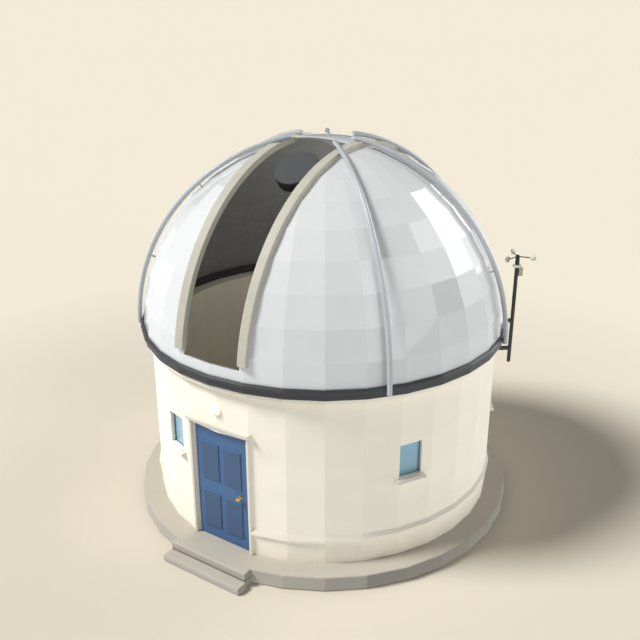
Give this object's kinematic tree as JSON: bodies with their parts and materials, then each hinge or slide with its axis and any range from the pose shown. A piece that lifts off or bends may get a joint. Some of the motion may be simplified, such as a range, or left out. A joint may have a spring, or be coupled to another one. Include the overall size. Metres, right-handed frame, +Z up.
{
  "type": "observatory dome",
  "caption": "Round plastered observatory on a stone plinth, with a panelled door and a rotating ribbed dome whose shuttered slit shows a telescope.",
  "frame": {"origin": "on the ground under the centre of the round plinth", "axes": "+Z up; the door and the dome's slit face -Y; the wind mast stands on the +X +Y side"},
  "size_m": [6.76, 7.02, 6.4826],
  "materials": {
    "plinth_stone": "matt, pale limestone",
    "sill_stone": "matt, dressed stone",
    "cream_plaster": "matt, smooth lime render",
    "pier_concrete": "matt, cast concrete",
    "track_steel": "worn running surface",
    "lamp_white": "satin white",
    "door_blue": "satin blue paint on wood",
    "knob_brass": "polished brass",
    "window_glass": "clear, blue sky reflection",
    "mast_dark": "satin dark paint",
    "sensor_tan": "matt tan housing",
    "ring_dark": "satin dark grey paint",
    "dome_white": "gloss off-white paint",
    "beam_cream": "satin cream paint",
    "rib_grey": "satin blue-grey paint",
    "tube_grey": "satin warm grey paint",
    "shield_black": "satin black paint",
    "cap_grey": "matt grey paint"
  },
  "bodies": {
    "building": {"plinth": "plinth_stone", "landing_slab": "plinth_stone", "entrance_step": "plinth_stone", "wall_right_front": "cream_plaster", "wall_right": "cream_plaster", "wall_back": "cream_plaster", "wall_left": "cream_plaster", "wall_left_front": "cream_plaster", "wall_over_door": "cream_plaster", "string_course": "cream_plaster", "wall_plate": "cream_plaster", "track_rail": "track_steel", "door_jamb_left": "cream_plaster", "door_jamb_right": "cream_plaster", "door_lintel": "cream_plaster", "wall_lamp": "lamp_white", "window_pane_by_door": "window_glass", "window_pane_right": "window_glass", "window_pane_right_back": "window_glass", "window_pane_back": "window_glass", "window_pane_left_back": "window_glass", "window_sill_by_door": "sill_stone", "window_sill_right": "sill_stone", "window_sill_right_back": "sill_stone", "window_sill_back": "sill_stone", "window_sill_left_back": "sill_stone", "wind_mast": "mast_dark", "mast_collar": "lamp_white", "weather_sensor": "sensor_tan", "telescope_pier": "pier_concrete"},
    "dome": {"base_ring": "ring_dark", "dome_right_front": "dome_white", "dome_right_back": "dome_white", "dome_left_front": "dome_white", "dome_left_back": "dome_white", "dome_back_strip": "dome_white", "arch_beam_left": "beam_cream", "arch_beam_right": "beam_cream", "rib_right_front": "rib_grey", "rib_right_middle": "rib_grey", "rib_right_back": "rib_grey", "rib_left_front": "rib_grey", "rib_left_middle": "rib_grey", "rib_left_back": "rib_grey"},
    "shutter": {"slit_shutter": "dome_white"},
    "door": {"door_leaf": "door_blue", "door_knob": "knob_brass"},
    "wind_cups": {"cup_rotor": "mast_dark"},
    "telescope_fork": {"telescope_fork": "cap_grey"},
    "telescope_tube": {"telescope_tube": "tube_grey", "dew_shield": "shield_black", "lens_cap": "cap_grey"}
  },
  "joints": [
    {"name": "dome_rotation", "type": "hinge", "parent": "building", "child": "dome", "pos_m": [0, 0, 3.213], "axis": [0, 0, 1], "continuous": true},
    {"name": "shutter_travel", "type": "hinge", "parent": "dome", "child": "shutter", "pos_m": [0, 0, 3.276], "axis": [1, 0, 0], "range_deg": [0, 83.3]},
    {"name": "door_hinge", "type": "hinge", "parent": "building", "child": "door", "pos_m": [-0.508, -2.878, 0.268], "axis": [0, 0, 1], "range_deg": [0, 90]},
    {"name": "cup_spin", "type": "hinge", "parent": "building", "child": "wind_cups", "pos_m": [2.66379, 2.18612, 4.2], "axis": [0, 0, 1], "continuous": true},
    {"name": "telescope_azimuth", "type": "hinge", "parent": "building", "child": "telescope_fork", "pos_m": [0, 0, 3.19], "axis": [0, 0, 1], "continuous": true},
    {"name": "telescope_altitude", "type": "hinge", "parent": "telescope_fork", "child": "telescope_tube", "pos_m": [0, 0.253, 4.378], "axis": [1, 0, 0], "range_deg": [0, 43]}
  ]
}
